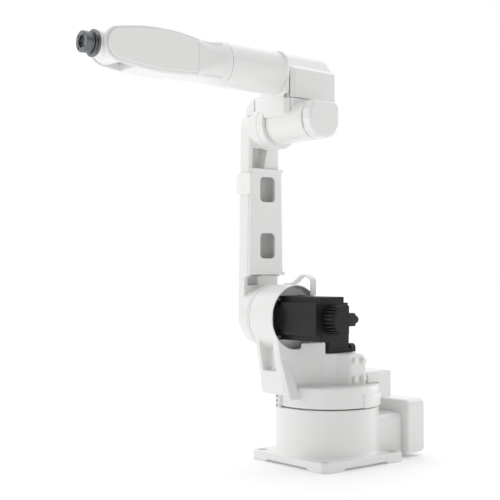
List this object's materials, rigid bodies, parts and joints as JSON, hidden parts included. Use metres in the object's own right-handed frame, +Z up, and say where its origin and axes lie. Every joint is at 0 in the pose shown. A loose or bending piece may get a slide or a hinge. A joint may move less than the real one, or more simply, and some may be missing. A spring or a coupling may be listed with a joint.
{
  "type": "six-axis robot arm",
  "caption": "Floor-standing articulated robot arm with a swivelling turret, upper arm, elbow, slim forearm and a wrist that ends in a tool flange.",
  "frame": {"origin": "on the first axis, at the centre of the base's seating face", "axes": "+Z up along the first axis, +X the way the forearm reaches at rest, +Y the side of the shoulder motor"},
  "size_m": [1.1824, 0.404, 1.2344],
  "materials": {
    "base_white": "satin white powder coat on a cast iron housing",
    "arm_white": "satin white paint on a cast aluminium housing",
    "cover_white": "satin white moulded cover",
    "motor_black": "satin black coated motor housing",
    "connector_black": "fine grained black moulding",
    "gunmetal": "dark machined and blackened steel",
    "plain_steel": "machined steel",
    "seal_rubber": "black lip seal rubber",
    "plug_white": "smooth off-white plastic"
  },
  "bodies": {
    "base": {"base_casting": "base_white", "connector_box": "base_white", "connector_panel": "base_white", "power_connector": "connector_black", "signal_connector": "connector_black", "air_fitting_1": "plain_steel", "air_fitting_2": "plain_steel", "j1_reducer_case": "plain_steel"},
    "turret": {"turret_casting": "arm_white", "j1_reducer_hub": "plain_steel", "j1_stop_block": "base_white", "j1_stop_screw_1": "plain_steel", "j1_stop_screw_2": "plain_steel", "j1_stop_screw_3": "plain_steel", "j1_motor_body": "motor_black", "j1_motor_cap": "motor_black", "j1_motor_plug": "connector_black", "gland_plug_1": "plug_white", "gland_plug_2": "plug_white", "gland_plug_3": "plug_white", "gland_plug_4": "plug_white", "turret_rear_box": "cover_white", "lifting_bracket": "base_white", "j2_reducer_case": "arm_white", "j2_motor_flange": "motor_black", "j2_motor_body": "motor_black", "j2_motor_ribs": "motor_black", "j2_motor_cap": "motor_black", "j2_motor_plug": "connector_black", "j2_motor_screw_1": "plain_steel", "j2_motor_screw_2": "plain_steel", "j2_motor_screw_3": "plain_steel", "j2_motor_screw_4": "plain_steel"},
    "upper_arm": {"upper_arm_casting": "arm_white", "upper_arm_cover": "cover_white", "cable_clip": "plug_white", "elbow_stop": "arm_white"},
    "elbow": {"j3_reducer_ring": "arm_white", "elbow_casting": "arm_white", "j3_motor": "motor_black", "j3_motor_cover": "cover_white", "j4_motor": "motor_black", "j4_motor_cover": "cover_white", "forearm_tube": "arm_white", "forearm_seal": "seal_rubber"},
    "forearm_roll": {"wrist_housing": "arm_white", "wrist_cover_right": "cover_white", "wrist_cover_left": "cover_white", "j5_motor": "motor_black", "j6_motor": "motor_black"},
    "wrist_tilt": {"wrist_body": "arm_white", "j5_pivot_pin_right": "plain_steel", "j5_pivot_pin_left": "plain_steel", "j6_output_housing": "gunmetal"},
    "tool": {"tool_flange": "gunmetal"}
  },
  "joints": [
    {"name": "j1_turn", "type": "hinge", "parent": "base", "child": "turret", "pos_m": [0, 0, 0.17], "axis": [0, 0, 1], "range_deg": [-170, 170]},
    {"name": "j2_lean", "type": "hinge", "parent": "turret", "child": "upper_arm", "pos_m": [0.15, 0, 0.442], "axis": [0, 1, 0], "range_deg": [-80, 60]},
    {"name": "j3_elbow", "type": "hinge", "parent": "upper_arm", "child": "elbow", "pos_m": [0.15, 0, 1.025], "axis": [0, 1, 0], "range_deg": [-85, 70]},
    {"name": "j4_roll", "type": "hinge", "parent": "elbow", "child": "forearm_roll", "pos_m": [0.42, 0, 1.168], "axis": [1, 0, 0], "range_deg": [-180, 180]},
    {"name": "j5_bend", "type": "hinge", "parent": "forearm_roll", "child": "wrist_tilt", "pos_m": [0.777, 0, 1.168], "axis": [0, 1, 0], "range_deg": [-105, 105]},
    {"name": "j6_spin", "type": "hinge", "parent": "wrist_tilt", "child": "tool", "pos_m": [0.842, 0, 1.168], "axis": [1, 0, 0], "range_deg": [-360, 360]}
  ]
}
